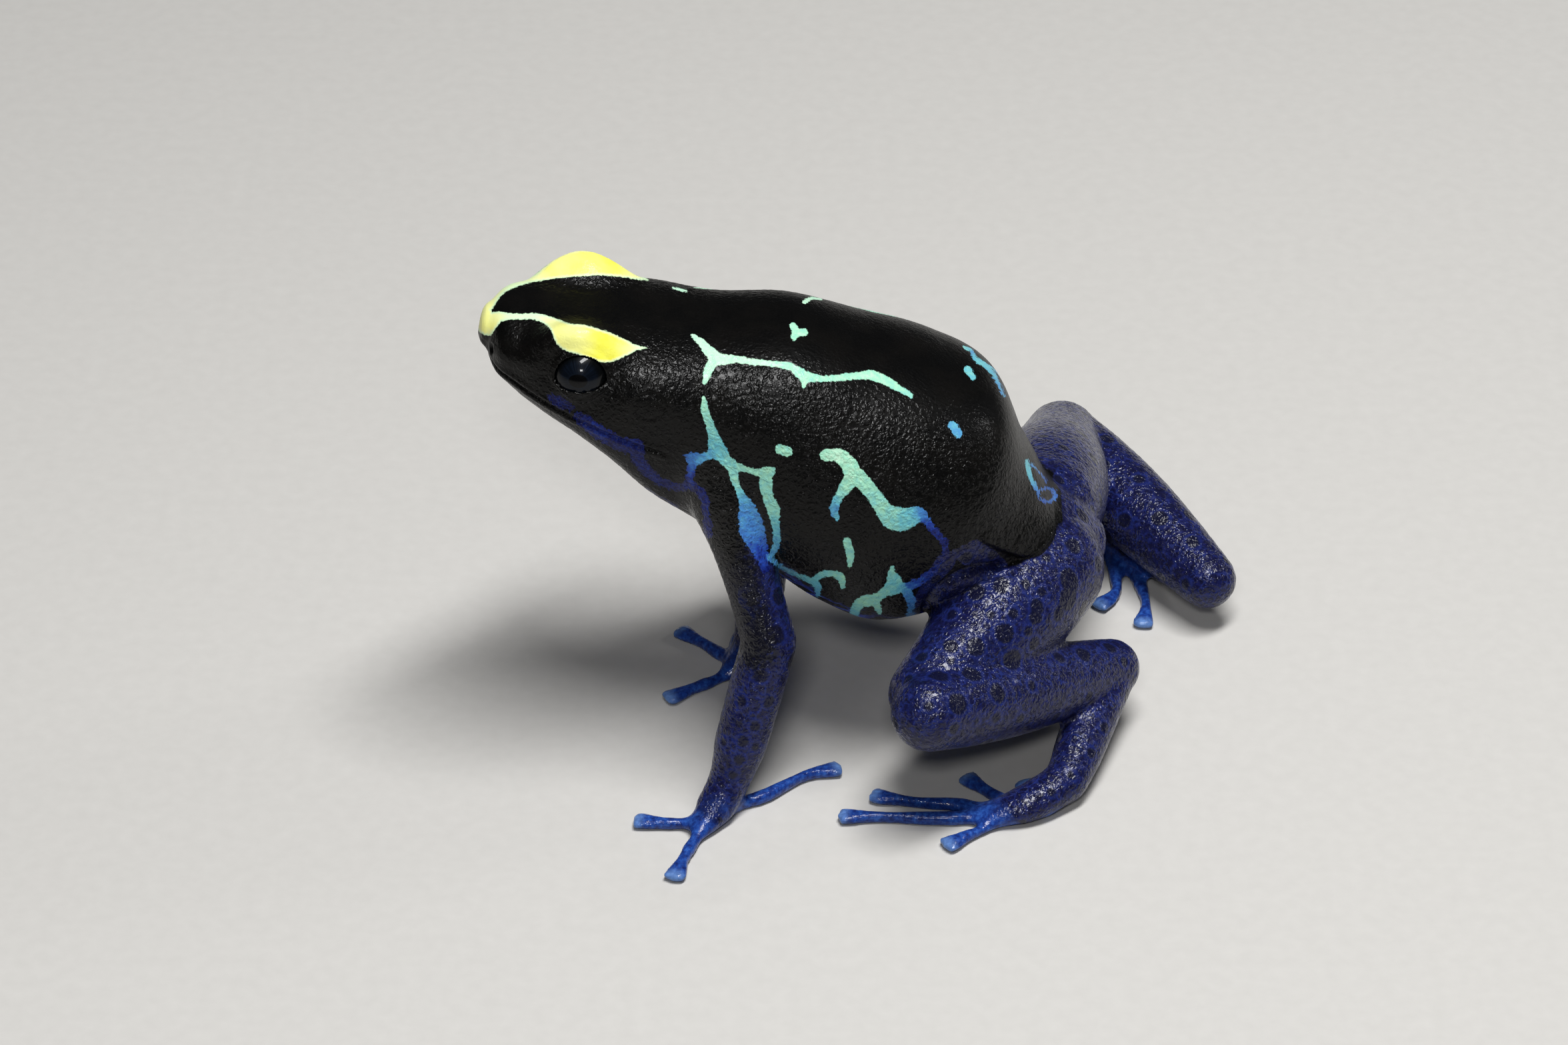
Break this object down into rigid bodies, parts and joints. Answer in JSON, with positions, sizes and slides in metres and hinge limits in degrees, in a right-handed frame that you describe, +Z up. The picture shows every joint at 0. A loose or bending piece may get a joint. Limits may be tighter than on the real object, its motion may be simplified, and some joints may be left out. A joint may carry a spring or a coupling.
{
  "type": "dyeing poison dart frog model",
  "caption": "Life-size still model of a blue and black dyeing poison dart frog, standing with its chest raised and its head up.",
  "frame": {"origin": "on the floor, under the middle of the model's outline", "axes": "+Z up; the frog faces -X, and its left side faces -Y; X is the longest extent"},
  "size_m": [0.0528, 0.0472, 0.0338],
  "materials": {
    "black_skin": "moist, finely granular black skin with yellow and turquoise markings",
    "blue_skin": "moist, granular navy-blue skin with round black spots",
    "bright_blue_skin": "smooth, moist royal-blue skin, paler on the discs",
    "eye": "wet, glossy black eyeball with a dark bluish iris"
  },
  "bodies": {
    "root": {"head": "black_skin", "lower_jaw": "black_skin", "trunk": "black_skin", "eye_left": "eye", "eye_right": "eye", "upper_arm_left": "blue_skin", "forearm_left": "blue_skin", "palm_left": "blue_skin", "finger_1_left": "bright_blue_skin", "finger_2_left": "bright_blue_skin", "finger_3_left": "bright_blue_skin", "finger_4_left": "bright_blue_skin", "thigh_left": "blue_skin", "shank_left": "blue_skin", "tarsus_left": "blue_skin", "sole_left": "blue_skin", "toe_1_left": "bright_blue_skin", "toe_2_left": "bright_blue_skin", "toe_3_left": "bright_blue_skin", "toe_4_left": "bright_blue_skin", "toe_5_left": "bright_blue_skin", "upper_arm_right": "blue_skin", "forearm_right": "blue_skin", "palm_right": "blue_skin", "finger_1_right": "bright_blue_skin", "finger_2_right": "bright_blue_skin", "finger_3_right": "bright_blue_skin", "finger_4_right": "bright_blue_skin", "thigh_right": "blue_skin", "shank_right": "blue_skin", "tarsus_right": "blue_skin", "sole_right": "blue_skin", "toe_1_right": "bright_blue_skin", "toe_2_right": "bright_blue_skin", "toe_3_right": "bright_blue_skin", "toe_4_right": "bright_blue_skin", "toe_5_right": "bright_blue_skin"}
  },
  "joints": []
}
